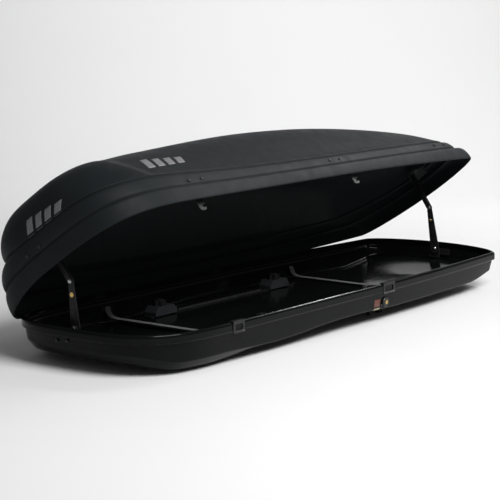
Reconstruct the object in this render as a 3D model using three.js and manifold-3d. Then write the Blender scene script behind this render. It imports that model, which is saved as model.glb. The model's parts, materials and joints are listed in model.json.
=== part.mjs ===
// Roof cargo box, shown with its lid open on the far-side hinges. Millimetres, +Z up.
// +X runs to the nose, +Y to the hinge side. Heights below are measured from the tub's rim;
// the finished part is lifted so that the bar seat under the tub is z = 0.
import * as THREE from 'three';
import Module from 'manifold-3d';

const wasm = await Module();
wasm.setup();

// ---------------------------------------------------------------- driving dimensions
const LENGTH = 2150;
const WIDTH = 660;
const SEAT_DEPTH = 93;
const BELLY_DEPTH = 121;
const TUB_WALL = 5;
const LID_WALL = 4;
const LID_OVERHANG = 8;
const SKIRT_DROP = 22;
const OPEN_ANGLE = THREE.MathUtils.degToRad(35);
const HINGE_Y = WIDTH / 2 + 18;
const HINGE_Z = -30;
const TAIL_ROUNDING = 378;
const NOSE_ROUNDING = 109;
const NOSE_TAPER = 0.156;
const GAP = 0.3;
const RING_STEPS = 34;
const CLAMP_X = [-386, 260];
const CLAMP_Y = 215;
const CATCH_X = [-678, 173];
const CATCH_WIDTH = [56, 70];
const HINGE_X = [-678, 173];
const LOCK = { x: 167, z: -68 };
const STRAP_X = [-560, 470];
const ROUND = 14;

// ---------------------------------------------------------------- small helpers
const clamp01 = (value) => Math.min(1, Math.max(0, value));
const smooth = (value) => clamp01(value) ** 2 * (3 - 2 * clamp01(value));
const mix = (a, b, t) => a + (b - a) * t;

function toSolid(geometry) {
  const position = geometry.attributes.position;
  const keys = new Map();
  const vertices = [];
  const remap = [];
  for (let i = 0; i < position.count; i += 1) {
    const point = [position.getX(i), position.getY(i), position.getZ(i)];
    const key = point.map((value) => Math.round(value * 1e4)).join(',');
    if (!keys.has(key)) {
      keys.set(key, vertices.length / 3);
      vertices.push(...point);
    }
    remap.push(keys.get(key));
  }
  const order = geometry.index ? Array.from(geometry.index.array) : remap.map((value, i) => i);
  const triangles = [];
  for (let i = 0; i < order.length; i += 3) {
    const [a, b, c] = [remap[order[i]], remap[order[i + 1]], remap[order[i + 2]]];
    if (a !== b && b !== c && a !== c) triangles.push(a, b, c);
  }
  const mesh = { numProp: 3, vertProperties: new Float32Array(vertices), triVerts: new Uint32Array(triangles) };
  return new wasm.Manifold(new wasm.Mesh(mesh));
}

function toGeometry(solid) {
  const mesh = solid.getMesh();
  const geometry = new THREE.BufferGeometry();
  geometry.setAttribute('position', new THREE.BufferAttribute(new Float32Array(mesh.vertProperties), 3));
  geometry.setIndex(Array.from(mesh.triVerts));
  return geometry;
}

function signedVolume(geometry) {
  const position = geometry.attributes.position;
  const index = geometry.index.array;
  const [a, b, c] = [new THREE.Vector3(), new THREE.Vector3(), new THREE.Vector3()];
  let sum = 0;
  for (let i = 0; i < index.length; i += 3) {
    a.fromBufferAttribute(position, index[i]);
    b.fromBufferAttribute(position, index[i + 1]);
    c.fromBufferAttribute(position, index[i + 2]);
    sum += a.dot(b.cross(c)) / 6;
  }
  return sum;
}

function facingOut(geometry) {
  if (signedVolume(geometry) > 0) return geometry;
  const index = Array.from(geometry.index.array);
  for (let i = 0; i < index.length; i += 3) {
    [index[i], index[i + 1]] = [index[i + 1], index[i]];
  }
  geometry.setIndex(index);
  return geometry;
}

function fuse(...geometries) {
  return toGeometry(geometries.map(toSolid).reduce((sum, next) => sum.add(next)));
}

function cut(geometry, ...tools) {
  return toGeometry(tools.map(toSolid).reduce((rest, tool) => rest.subtract(tool), toSolid(geometry)));
}

// A flat outline pushed along one axis. Outline points are the other two axes in X, Y, Z order.
function prism(axis, from, to, points) {
  const shape = new THREE.Shape(points.map(([a, b]) => new THREE.Vector2(a, b)));
  const raw = new THREE.ExtrudeGeometry(shape, { depth: to - from, bevelEnabled: false, steps: 1 });
  const position = raw.attributes.position;
  for (let i = 0; i < position.count; i += 1) {
    const [a, b, along] = [position.getX(i), position.getY(i), position.getZ(i) + from];
    if (axis === 'x') position.setXYZ(i, along, a, b);
    if (axis === 'y') position.setXYZ(i, a, along, b);
    if (axis === 'z') position.setXYZ(i, a, b, along);
  }
  raw.deleteAttribute('normal');
  raw.deleteAttribute('uv');
  const order = Array.from({ length: position.count }, (value, i) => i);
  raw.setIndex(order);
  return toGeometry(toSolid(facingOut(raw)));
}

function circle(a, b, radius, count = ROUND) {
  return Array.from({ length: count }, (value, i) => {
    const turn = ((i + 0.5) / count) * 2 * Math.PI;
    return [a + radius * Math.cos(turn), b + radius * Math.sin(turn)];
  });
}

function roundedRect(a0, b0, a1, b1, radius, steps = 3) {
  const corners = [[a1, b1, 0], [a0, b1, 1], [a0, b0, 2], [a1, b0, 3]];
  return corners.flatMap(([a, b, quarter]) => {
    const centreA = a + (a === a1 ? -radius : radius);
    const centreB = b + (b === b1 ? -radius : radius);
    return Array.from({ length: steps + 1 }, (value, i) => {
      const turn = (quarter + i / steps) * (Math.PI / 2);
      return [centreA + radius * Math.cos(turn), centreB + radius * Math.sin(turn)];
    });
  });
}

// A link outline with a round end at each pivot.
function linkOutline(from, to, radiusFrom, radiusTo = radiusFrom, steps = 6) {
  const heading = Math.atan2(to[1] - from[1], to[0] - from[0]);
  const half = (centre, radius, start) => Array.from({ length: steps + 1 }, (value, i) => {
    const turn = start + (i / steps) * Math.PI;
    return [centre[0] + radius * Math.cos(turn), centre[1] + radius * Math.sin(turn)];
  });
  return [...half(to, radiusTo, heading - Math.PI / 2), ...half(from, radiusFrom, heading + Math.PI / 2)];
}

// A turned piece whose profile is [radius, along]; it starts and ends on the axis.
function turned(axis, centre, profile, segments = ROUND) {
  const points = profile.map(([radius, along]) => new THREE.Vector2(radius, along));
  const geometry = new THREE.LatheGeometry(points, segments);
  geometry.deleteAttribute('normal');
  geometry.deleteAttribute('uv');
  if (axis === 'x') geometry.rotateZ(-Math.PI / 2);
  if (axis === 'z') geometry.rotateX(Math.PI / 2);
  geometry.translate(...centre);
  return toGeometry(toSolid(facingOut(geometry)));
}

// ---------------------------------------------------------------- plan outline
function halfWidthAt(x, offset = 0, noseRounding = NOSE_ROUNDING) {
  const halfLength = LENGTH / 2 + offset;
  const share = clamp01(x / halfLength);
  const straight = (WIDTH / 2) * (1 - NOSE_TAPER * share ** 2) + offset;
  const fromTail = x + halfLength;
  const fromNose = halfLength - x;
  const tailShare = clamp01((TAIL_ROUNDING - fromTail) / TAIL_ROUNDING);
  const noseShare = clamp01((noseRounding - fromNose) / noseRounding);
  return straight * (1 - tailShare ** 3.26) ** (1 / 3.26) * (1 - noseShare ** 1.84) ** (1 / 1.84);
}

// Half of the plan outline from tail to nose, closer spaced where it turns.
function halfOutline(offset, steps) {
  const halfLength = LENGTH / 2 + offset;
  const fine = Array.from({ length: 1601 }, (value, i) => {
    const x = -Math.cos((i / 1600) * Math.PI) * halfLength;
    return [x, -halfWidthAt(x, offset)];
  });
  const weights = [0];
  for (let i = 1; i < fine.length; i += 1) {
    const [dx, dy] = [fine[i][0] - fine[i - 1][0], fine[i][1] - fine[i - 1][1]];
    let turn = 0;
    if (i > 1) {
      const [ex, ey] = [fine[i - 1][0] - fine[i - 2][0], fine[i - 1][1] - fine[i - 2][1]];
      turn = Math.abs(Math.atan2(ex * dy - ey * dx, ex * dx + ey * dy));
    }
    weights.push(weights[i - 1] + Math.hypot(dx, dy) / 2700 + turn / Math.PI);
  }
  const total = weights[weights.length - 1];
  return Array.from({ length: steps + 1 }, (value, i) => {
    const target = (total * i) / steps;
    let k = 1;
    while (k < weights.length - 1 && weights[k] < target) k += 1;
    const t = clamp01((target - weights[k - 1]) / (weights[k] - weights[k - 1]));
    return [mix(fine[k - 1][0], fine[k][0], t), mix(fine[k - 1][1], fine[k][1], t)];
  });
}

// 1 at the tail corner on the hinge side, fading to 0 along the tail and the side.
function farTail(x, y) {
  return smooth((-x - 740) / 280) * smooth((y - 40) / 260);
}

// A level ring of the plan outline, drawn in by `side`, `tail` and `nose`, at height(x). `corner` rounds
// its nose corners; `farIn` and `farLift` shape the tail corner on the hinge side.
function ring(half, offset, { side, tail, nose, height, corner = NOSE_ROUNDING, farIn = 0, farLift = 0 }) {
  const halfLength = LENGTH / 2 + offset;
  const halfWidth = WIDTH / 2 + offset;
  const [start, end] = [-halfLength + tail, halfLength - nose];
  const near = half.map(([x, y]) => {
    const own = halfWidthAt(x, offset);
    const rounder = own > 1e-6 ? halfWidthAt(x, offset, corner) / own : 1;
    const px = (start + end) / 2 + (x * (end - start)) / (2 * halfLength);
    return [px, (y * rounder * (halfWidth - side)) / halfWidth, height(px)];
  });
  const far = near.slice(1, -1).reverse().map(([x, y, z]) => {
    const share = farTail(x, -y);
    return [x + 0.6 * farIn * share, -y - 0.8 * farIn * share, z + farLift * share];
  });
  return [...near, ...far];
}

// Skins a list of rings and closes the first and last one across their width.
function loft(rings) {
  const count = rings[0].length;
  const ends = count / 2;
  const index = [];
  for (let k = 0; k + 1 < rings.length; k += 1) {
    for (let i = 0; i < count; i += 1) {
      const [a, b] = [k * count + i, k * count + ((i + 1) % count)];
      index.push(a, b, b + count, a, b + count, a + count);
    }
  }
  const close = (base, flip) => {
    for (let i = 0; i < ends; i += 1) {
      const quad = [base + i, base + i + 1, base + ((count - i - 1) % count), base + ((count - i) % count)];
      const pairs = [[quad[0], quad[1], quad[2]], [quad[0], quad[2], quad[3]]];
      pairs.forEach(([a, b, c]) => index.push(...(flip ? [a, b, c] : [a, c, b])));
    }
  };
  close(0, false);
  close((rings.length - 1) * count, true);
  const geometry = new THREE.BufferGeometry();
  geometry.setAttribute('position', new THREE.BufferAttribute(new Float32Array(rings.flat(2)), 3));
  geometry.setIndex(index);
  return facingOut(geometry);
}

// ---------------------------------------------------------------- tub
const lengthShare = (x) => x / (LENGTH / 2);

// Height of the underside: a deep belly at the tail, the level bar seat, and an upswept nose.
function floorHeight(x) {
  const belly = mix(-BELLY_DEPTH, -SEAT_DEPTH, smooth((x + 695) / 180));
  const tailRise = 26 * smooth((-900 - x) / 150);
  const noseRise = 34 * smooth((x - 760) / 300);
  return belly + tailRise + noseRise;
}

// Height of the lower edge of the side wall, which hangs a little below the seat near the tail.
function wallFoot(x) {
  const belly = mix(-BELLY_DEPTH, -SEAT_DEPTH - 14, smooth((x + 800) / 380));
  const middle = mix(belly, -SEAT_DEPTH + 1, smooth((x + 450) / 380));
  const front = 6 * smooth((x - 40) / 200);
  return middle - front + 26 * smooth((-900 - x) / 150) + 34 * smooth((x - 780) / 290);
}

function chamferHeight(x) {
  return mix(28, 7, smooth((x + 760) / 320));
}

function tubRings(half) {
  const at = (inset, height) => ring(half, 0, { side: inset, tail: inset, nose: inset, height });
  const foot = (x) => wallFoot(x);
  const outer = [
    at(200, floorHeight),
    at(105, floorHeight),
    at(62, (x) => mix(foot(x), floorHeight(x), 0.75)),
    at(38, foot),
    at(14, (x) => foot(x) + chamferHeight(x)),
    at(8, () => -32),
    at(0, () => -29),
    at(-1, () => -26),
    at(0, () => -3),
    at(3, () => 0),
  ];
  const inner = [
    at(6, () => 0),
    at(7, () => -5),
    at(7, () => -27),
    at(14, () => -33),
    at(20, (x) => foot(x) + chamferHeight(x) + 2),
    at(43, (x) => foot(x) + TUB_WALL + 1),
    at(66, (x) => mix(foot(x), floorHeight(x), 0.75) + TUB_WALL + 0.3),
    at(109, (x) => floorHeight(x) + TUB_WALL),
    at(200, (x) => floorHeight(x) + TUB_WALL),
  ];
  return [...outer, ...inner];
}

const CLAW_SLOT = { fixed: [-42, -28], moving: [10, 44], halfWidth: 9 };

function clawSlots(bottom, top) {
  return CLAMP_X.flatMap((x) => [-1, 1].flatMap((side) => [CLAW_SLOT.fixed, CLAW_SLOT.moving].map(([a, b]) => {
    const y = side * CLAMP_Y;
    const outline = [[x + a, y - CLAW_SLOT.halfWidth], [x + b, y - CLAW_SLOT.halfWidth],
      [x + b, y + CLAW_SLOT.halfWidth], [x + a, y + CLAW_SLOT.halfWidth]];
    return prism('z', bottom, top, outline);
  })));
}

const TUB_RIVETS = [[20, -36], [62, -39]];

function baseTub() {
  const shell = loft(tubRings(halfOutline(0, RING_STEPS)));
  const lockHole = prism('y', -340, -290, circle(LOCK.x, LOCK.z, 11.8));
  const rivetHoles = TUB_RIVETS.map(([y, z]) => prism('x', -1080, -1040, circle(y, z - 6, 2.8, 8)));
  return cut(shell, lockHole, ...rivetHoles, ...clawSlots(-110, -70));
}

// ---------------------------------------------------------------- lid, drawn closed and then swung open
function lowerGroove(x) {
  const u = lengthShare(x);
  return 22.3 - 2.9 * u + 13.7 * u * u;
}

function upperGroove(x) {
  const u = lengthShare(x);
  return 59 - 8 * u + 27 * u * u - (u > 0 ? 15 * u ** 4 : 0);
}

function shoulder(x) {
  const u = lengthShare(x);
  const noseDrop = u > 0 ? 52 * u ** 4 + 11 * smooth((u - 0.1) / 0.7) : 0;
  const tailDip = 10 * smooth((-x - 80) / 620) * (1 - smooth((-x - 830) / 130));
  return 240 - 30 * u - 59 * u * u - noseDrop - tailDip;
}

function crown(x, share) {
  return shoulder(x) + share * 38 * (shoulder(x) - upperGroove(x)) / 181;
}

// Each row: how far the ring is drawn in at the side, tail and nose, its height, how round its nose
// corners are, and how its tail corner on the hinge side is drawn in and lifted.
function lidProfile() {
  const rise = (share) => (x) => mix(upperGroove(x) + 6, shoulder(x), share);
  const rows = [
    [0, 0, 0, () => -SKIRT_DROP, 109, -12, -28],
    [-1.5, -2, 0, (x) => lowerGroove(x) * 0.35 - SKIRT_DROP * 0.3, 111, -14, -25],
    [0.5, -3, 6, (x) => lowerGroove(x) - 5, 134, -6, -16],
    [5.5, 2, 18, lowerGroove, 180, 2, -13],
    [3.5, -5, 16, (x) => lowerGroove(x) + 5, 181, 0, -11],
    [8, -8, 22, (x) => mix(lowerGroove(x) + 5, upperGroove(x) - 5, 0.55), 189, 6, -3],
    [11, -3, 24, (x) => upperGroove(x) - 5, 204, 28, 6],
    [16, 3, 35, upperGroove, 232, 42, 9],
    [15, -2, 34, (x) => upperGroove(x) + 5, 237, 39, 11],
    [36, 2, 43, rise(0.24), 246, 23, 19],
    [66, 14, 55, rise(0.56), 254, 21, 22],
    [98, 32, 73, rise(0.83), 258, 25, 13],
    [128, 54, 99, shoulder, 258, 26, 5],
    [160, 84, 135, (x) => crown(x, 0.37), 250, 16, 1],
    [205, 132, 192, (x) => crown(x, 0.68), 240, 5, 0],
    [262, 205, 284, (x) => crown(x, 0.91), 215, 0, 0],
    [318, 290, 395, (x) => crown(x, 1), 180, 0, 0],
  ];
  return rows.map(([side, tail, nose, height, corner, farIn, farLift]) => (
    { side, tail, nose, height, corner, farIn, farLift }));
}

function lidRings(half) {
  const outer = lidProfile().map((row) => ring(half, LID_OVERHANG, row));
  const inner = lidProfile().map((row, i, rows) => {
    const lean = clamp01((i - 8) / (rows.length - 9));
    const draw = LID_WALL * Math.cos((lean * Math.PI) / 2);
    const drop = i === 0 ? 0 : LID_WALL * Math.sin((lean * Math.PI) / 2);
    const { side, tail, nose, height } = row;
    return ring(half, LID_OVERHANG, {
      ...row, side: side + draw, tail: tail + draw, nose: nose + draw, height: (x) => height(x) - drop,
    });
  });
  return [...outer.reverse(), ...inner];
}

// A value of the lid's profile rows at a height.
function profileAt(key, x, z) {
  const rows = lidProfile().map((row) => [row.height(x), row[key]]);
  const k = rows.findIndex(([height], i) => i > 0 && height >= z);
  const [low, high] = [rows[k - 1], rows[k]];
  return mix(low[1], high[1], (z - low[0]) / (high[0] - low[0]));
}

function lidSideWall(x, z) {
  const halfWidth = WIDTH / 2 + LID_OVERHANG;
  const outline = halfWidthAt(x, LID_OVERHANG, profileAt('corner', x, z));
  return (outline * (halfWidth - profileAt('side', x, z))) / halfWidth;
}

// Rivet pairs along the lid's middle band: [x, y, outward angle in plan].
const RIVET_HEIGHT = { tail: 52, rear: 45, front: 40, nose: 48 };

function lidRivetSpots() {
  const side = (group, x) => [x, -lidSideWall(x, RIVET_HEIGHT[group]), -Math.PI / 2];
  const tailX = -(LENGTH / 2 + LID_OVERHANG - profileAt('tail', -LENGTH / 2, RIVET_HEIGHT.tail));
  return {
    tail: [[tailX, -4, Math.PI], [tailX, 56, Math.PI]],
    rear: [side('rear', -712), side('rear', -648)],
    front: [side('front', 48), side('front', 108)],
    nose: [side('nose', 766), side('nose', 838)],
  };
}

function outwardFrame(x, y, angle, z) {
  const matrix = new THREE.Matrix4().makeRotationZ(angle);
  matrix.setPosition(x, y, z);
  return matrix;
}

// Local +X points out of the shell; `grip` is how deep the inner head sits.
function rivet(matrix, grip) {
  const profile = [[0, -grip - 1.5], [5, -grip - 1.5], [5, -grip], [2.2, -grip], [2.2, 1.9],
    [6.4, 1.9], [5.4, 3.7], [3.2, 4.7], [0, 5]];
  return turned('x', [0, 0, 0], profile, 8).applyMatrix4(matrix);
}

function rivetHole(matrix) {
  return prism('x', -40, 14, circle(0, 0, 2.9, 8)).applyMatrix4(matrix);
}

function lidShell() {
  const shell = loft(lidRings(halfOutline(LID_OVERHANG, RING_STEPS)));
  const spots = lidRivetSpots();
  const holes = Object.entries(spots).flatMap(([group, list]) => list.map(([x, y, angle]) => (
    rivetHole(outwardFrame(x, y, angle, RIVET_HEIGHT[group])))));
  return cut(shell, ...holes);
}

// ---------------------------------------------------------------- far-side hinges
function hingeKnuckle(x0, x1) {
  return prism('x', x0, x1, circle(HINGE_Y, HINGE_Z, 6.5));
}

function hingePinHole(x0, x1) {
  return prism('x', x0, x1, circle(HINGE_Y, HINGE_Z, 3.2));
}

function hingeBaseLeaf(x) {
  const wall = halfWidthAt(x - 45) - 8 + GAP + 0.6;
  const plate = prism('y', wall, wall + 3, roundedRect(x - 45, -78, x + 45, -38, 5));
  const reach = (a, b) => prism('x', a, b, [[wall + 0.5, -44], [HINGE_Y - 2, -36.2], [HINGE_Y + 4, -33],
    [HINGE_Y + 4, -31], [HINGE_Y - 4, -31], [HINGE_Y - 8, -35.4], [wall + 0.5, -39]]);
  const ears = [[x - 45, x - 19], [x + 19, x + 45]];
  const pieces = ears.flatMap(([a, b]) => [reach(a, b), hingeKnuckle(a, b)]);
  return cut(fuse(plate, ...pieces), hingePinHole(x - 60, x + 60));
}

function hingeLidLeaf(x) {
  const skirt = halfWidthAt(x - 40, LID_OVERHANG) + 1.5 + GAP + 0.2;
  const plate = prism('y', skirt, skirt + 2.6, roundedRect(x - 40, -18, x + 40, 14, 5));
  const tongue = prism('x', x - 18, x + 18, [[skirt, -18], [skirt, -8], [skirt + 2.6, -8],
    [HINGE_Y + 3, -27], [HINGE_Y - 3, -32]]);
  return cut(fuse(plate, tongue, hingeKnuckle(x - 18, x + 18)), hingePinHole(x - 60, x + 60));
}

function hingePin(x) {
  const profile = [[0, -48.5], [4.6, -48.5], [4.6, -46], [2.5, -46], [2.5, 46], [4.6, 46], [4.6, 48.5], [0, 48.5]];
  return turned('x', [x, HINGE_Y, HINGE_Z], profile, 12);
}

// ---------------------------------------------------------------- near-side catches, hooks and lock
// A clip folded over the rim: outer plate with a turned-out lip, bridge and inner plate.
function rimCatch(x, width) {
  const rim = -halfWidthAt(x);
  const section = [[rim - 1.5, -34], [rim - 1.5, 0.5], [rim + 9, 0.5], [rim + 9, -20], [rim + 11, -20],
    [rim + 11, 2.4], [rim - 3.2, 2.4], [rim - 3.2, -31], [rim - 6.5, -33], [rim - 6.5, -36], [rim - 3, -36]];
  const body = prism('x', x - width / 2, x + width / 2, section);
  const notch = prism('y', rim - 12, rim - 1, roundedRect(x - width / 2 + 9, -27, x + width / 2 - 9, -9, 4));
  return cut(body, notch);
}

// A plate carried on two bosses off the lid's inner wall. Its tongue drops inside the rim and has
// a side notch for the bolt.
const HOOK_INSET = 18.5;

function hookPlane(x) {
  return -(halfWidthAt(x) - HOOK_INSET);
}

function lidHook(x, rivets) {
  const y0 = hookPlane(x);
  const left = Math.min(rivets[0][0] - 18, x - 30);
  const right = Math.max(rivets[1][0] + 18, x + 22);
  const z = rivets[0][2];
  const outline = [[left, z + 14], [left, z - 14], [x - 24, z - 20], [x - 20, -44], [x - 14, -50],
    [x + 6, -50], [x + 12, -44], [x + 12, -41], [x - 2, -41], [x - 2, -31], [x + 12, -31],
    [x + 16, z - 20], [right, z - 14], [right, z + 14]];
  const plate = prism('y', y0, y0 + 2.6, outline);
  const bosses = rivets.map(([rx]) => {
    const wall = -(lidSideWall(rx, z + 10) - LID_WALL - 1);
    return prism('y', wall, y0 + 1, circle(rx, z, 9, 10));
  });
  const holes = rivets.map(([rx]) => prism('y', y0 - 30, y0 + 12, circle(rx, z, 2.9, 8)));
  return cut(fuse(plate, ...bosses), ...holes);
}

const ROD = { y: -298, z: -36, travel: 12 };

function lockRod() {
  const ends = [CATCH_X[0] - 20, CATCH_X[1] + 44];
  const bar = prism('y', ROD.y - 3, ROD.y + 3, roundedRect(ends[0], ROD.z - 5, ends[1], ROD.z + 5, 2, 2));
  const pegs = CATCH_X.map((x) => prism('y', ROD.y - 15, ROD.y - 2, roundedRect(x + 16, ROD.z - 3, x + 24, ROD.z + 3, 2, 2)));
  const tab = prism('y', ROD.y - 3, ROD.y + 3, roundedRect(LOCK.x + 14, ROD.z - 16, LOCK.x + 22, ROD.z, 2, 2));
  return fuse(bar, ...pegs, tab);
}

// A folded guide on the tub wall that the rod slides through.
function rodGuide(x) {
  const wall = -(halfWidthAt(x) - 14 - GAP - 6);
  const section = [[wall, -62], [wall, -23], [ROD.y + 6, -23], [ROD.y + 6, -49], [ROD.y - 6, -49],
    [ROD.y - 6, -47], [ROD.y + 4, -47], [ROD.y + 4, -25], [wall + 2, -25], [wall + 2, -62]];
  return prism('x', x - 16, x + 16, section);
}

function lockHousing() {
  const wall = -halfWidthAt(LOCK.x);
  const profile = [[0, 0], [18, 0], [18, 2.5], [15.5, 5], [0, 5]];
  const flange = turned('y', [LOCK.x, 0, LOCK.z], profile.map(([r, a]) => [r, wall + 8.4 - a]), 20);
  const barrel = prism('y', wall + 6, wall + 30, circle(LOCK.x, LOCK.z, 11, 16));
  const bore = prism('y', wall - 10, wall + 40, circle(LOCK.x, LOCK.z, 7.6, 16));
  return cut(fuse(flange, barrel), bore);
}

function lockCylinder() {
  const wall = -halfWidthAt(LOCK.x);
  const core = turned('y', [LOCK.x, 0, LOCK.z], [[0, wall + 2.6], [7, wall + 2.6], [7, wall + 32], [0, wall + 32]], 16);
  const cam = prism('y', wall + 31, wall + 34, linkOutline([LOCK.x, LOCK.z], [LOCK.x, LOCK.z + 15], 8, 5));
  const keyway = prism('y', wall - 2, wall + 9, [[LOCK.x - 0.8, LOCK.z - 4.5], [LOCK.x + 0.8, LOCK.z - 4.5],
    [LOCK.x + 0.8, LOCK.z + 4.5], [LOCK.x - 0.8, LOCK.z + 4.5]]);
  return cut(fuse(core, cam), keyway);
}

// ---------------------------------------------------------------- lid lifters
// Pivots in the plane of the arms: base pivot and, with the lid closed, lid pivot as [y, z].
const LIFTERS = {
  rear: { x: -1006, wallSide: -1, drop: 50, base: [40, -14], lid: [28, 55], lower: 143, upper: 123 },
  front: { x: 985, wallSide: 1, drop: 34, base: [-20, -14], lid: [-32, 55], lower: 158, upper: 140 },
};

function swingOpen([y, z]) {
  const [dy, dz] = [y - HINGE_Y, z - HINGE_Z];
  const [c, s] = [Math.cos(OPEN_ANGLE), Math.sin(OPEN_ANGLE)];
  return [HINGE_Y + dy * c + dz * s, HINGE_Z - dy * s + dz * c];
}

// Where the two arms meet, on the near side of the line between their pivots.
function elbow(base, lid, lower, upper) {
  const [dy, dz] = [lid[0] - base[0], lid[1] - base[1]];
  const span = Math.hypot(dy, dz);
  const along = (lower ** 2 - upper ** 2 + span ** 2) / (2 * span);
  const out = Math.sqrt(lower ** 2 - along ** 2);
  return [base[0] + (dy * along - dz * out) / span, base[1] + (dz * along + dy * out) / span];
}

function lifterPoints({ base, lid, lower, upper }) {
  const open = swingOpen(lid);
  return { base, open, closed: lid, elbow: elbow(base, open, lower, upper), folded: elbow(base, lid, lower, upper) };
}

const pivotHole = (x, [y, z]) => prism('x', x - 30, x + 30, circle(y, z, 4.7, 12));

function lifterRivet(x, [y, z], from, to) {
  const profile = [[0, from - 2.2], [5.2, from - 2.2], [7.2, from - 0.4], [7.2, from], [4, from],
    [4, to], [7.2, to], [7.2, to + 0.4], [5.2, to + 2.2], [0, to + 2.2]];
  return turned('x', [x, y, z], profile, 12);
}

function lifterBaseBracket(lifter) {
  const { x, wallSide, base, drop } = lifter;
  const [y, z] = base;
  const wall = wallSide * (LENGTH / 2 - 27);
  const ear = prism('x', Math.min(x + wallSide * 6, x + wallSide * 9), Math.max(x + wallSide * 6, x + wallSide * 9),
    [[y - 16, z - drop], [y + 30, z - drop], [y + 30, z - 8], [y + 9, z + 9], [y - 9, z + 9], [y - 16, z - 4]]);
  const foot = prism('x', Math.min(wall, wall - wallSide * 3), Math.max(wall, wall - wallSide * 3),
    roundedRect(y - 28, z - drop + 2, y + 30, z - 8, 5));
  const web = prism('z', z - drop, z - 12, [[Math.min(x + wallSide * 6, wall), y + 27], [Math.max(x + wallSide * 6, wall), y + 27],
    [Math.max(x + wallSide * 6, wall), y + 30], [Math.min(x + wallSide * 6, wall), y + 30]]);
  const rivets = TUB_RIVETS.map(([ry, rz]) => prism('x', x - 200, x + 200, circle(ry, rz - 6, 2.8, 8)));
  const bracket = cut(fuse(ear, foot, web), pivotHole(x, base));
  return wallSide < 0 ? cut(bracket, ...rivets) : bracket;
}

function lifterLowerArm(lifter) {
  const points = lifterPoints(lifter);
  const plate = prism('x', lifter.x - 1.6, lifter.x + 1.6, linkOutline(points.base, points.elbow, 18, 10));
  const eyelet = eyeletCentre(points);
  const hole = prism('x', lifter.x - 9, lifter.x + 9, circle(eyelet[0], eyelet[1], 4.4, 12));
  const ribEnds = [0.2, 0.52].map((t) => [mix(points.base[0], points.elbow[0], t), mix(points.base[1], points.elbow[1], t)]);
  const rib = prism('x', lifter.x - 3, lifter.x + 3, linkOutline(ribEnds[0], ribEnds[1], 5, 5, 4));
  return cut(fuse(plate, rib), pivotHole(lifter.x, points.base), pivotHole(lifter.x, points.elbow), hole);
}

function eyeletCentre(points) {
  return [mix(points.base[0], points.elbow[0], 0.71), mix(points.base[1], points.elbow[1], 0.71)];
}

// A brass ring pressed through the lower arm.
function lifterEyelet(lifter) {
  const [y, z] = eyeletCentre(lifterPoints(lifter));
  const profile = [[0, -2.8], [7.6, -2.8], [7.6, -1.9], [4, -1.9], [4, 1.9], [7.6, 1.9], [7.6, 2.8], [0, 2.8]];
  const ringBody = turned('x', [lifter.x, y, z], profile, 14);
  return cut(ringBody, prism('x', lifter.x - 9, lifter.x + 9, circle(y, z, 2.6, 12)));
}

// Two thin plates joined by bosses, straddling the lower arm at the elbow.
function lifterUpperArm(lifter) {
  const points = lifterPoints(lifter);
  const outline = linkOutline(points.elbow, points.open, 9, 8);
  const plates = [[-5.6, -3.4], [3.4, 5.6]].map(([a, b]) => prism('x', lifter.x + a, lifter.x + b, outline));
  const bosses = [0.45, 1].map((t) => {
    const centre = [mix(points.elbow[0], points.open[0], t), mix(points.elbow[1], points.open[1], t)];
    return prism('x', lifter.x - 4.5, lifter.x + 4.5, circle(centre[0], centre[1], 5, 10));
  });
  return cut(fuse(...plates, ...bosses), pivotHole(lifter.x, points.elbow));
}

function elbowRivet(lifter) {
  return lifterRivet(lifter.x, lifterPoints(lifter).elbow, -6.2, 6.2);
}

function basePivotRivet(lifter) {
  const side = lifter.wallSide;
  const [a, b] = side < 0 ? [-9.6, 2.2] : [-2.2, 9.6];
  return lifterRivet(lifter.x, lifter.base, a, b);
}

// Drawn with the lid closed: foot on the lid's end wall, web, and an ear beside the upper arm.
function lifterLidBracket(lifter) {
  const { x, wallSide, lid } = lifter;
  const [y, z] = lid;
  const wall = wallSide < 0 ? -(LENGTH / 2 + 1) : LENGTH / 2 - 49;
  const near = x + wallSide * 9;
  const far = x + wallSide * 12;
  const ear = prism('x', Math.min(near, far), Math.max(near, far),
    [[y - 9, z - 9], [y + 9, z - 9], [y + 12, z + 14], [y + 12, z + 20], [y - 12, z + 20], [y - 12, z + 14]]);
  const web = prism('z', z + 17, z + 20, [[Math.min(near, wall), y - 12], [Math.max(near, wall), y - 12],
    [Math.max(near, wall), y + 12], [Math.min(near, wall), y + 12]]);
  const foot = prism('x', Math.min(wall, wall - wallSide * 3), Math.max(wall, wall - wallSide * 3),
    roundedRect(y - 42, z - 14, y + 38, z + 20, 5));
  const stud = prism('x', Math.min(x + wallSide * 6.4, far + wallSide), Math.max(x + wallSide * 6.4, far + wallSide),
    circle(y, z, 6, 12));
  const spots = wallSide < 0 ? lidRivetSpots().tail : [];
  const holes = spots.map(([, ry]) => prism('x', wall - 20, wall + 20, circle(ry, RIVET_HEIGHT.tail, 2.9, 8)));
  const bracket = fuse(ear, web, foot, stud);
  return holes.length ? cut(bracket, ...holes) : bracket;
}

// ---------------------------------------------------------------- rails, clamps and load straps
const RAIL_TOP = -SEAT_DEPTH + TUB_WALL + GAP + 3;

function floorRail(side) {
  const y = side * CLAMP_Y;
  const bottom = RAIL_TOP - 3;
  const flat = prism('z', bottom, RAIL_TOP, roundedRect(CLAMP_X[0] - 70, y - 20, CLAMP_X[1] + 90, y + 20, 6));
  const rib = prism('x', CLAMP_X[0] + 90, CLAMP_X[1] - 90, [[y - 7, bottom + 1], [y - 4, RAIL_TOP + 3],
    [y + 4, RAIL_TOP + 3], [y + 7, bottom + 1]]);
  return cut(fuse(flat, rib), ...clawSlots(bottom - 5, RAIL_TOP + 5));
}

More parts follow.
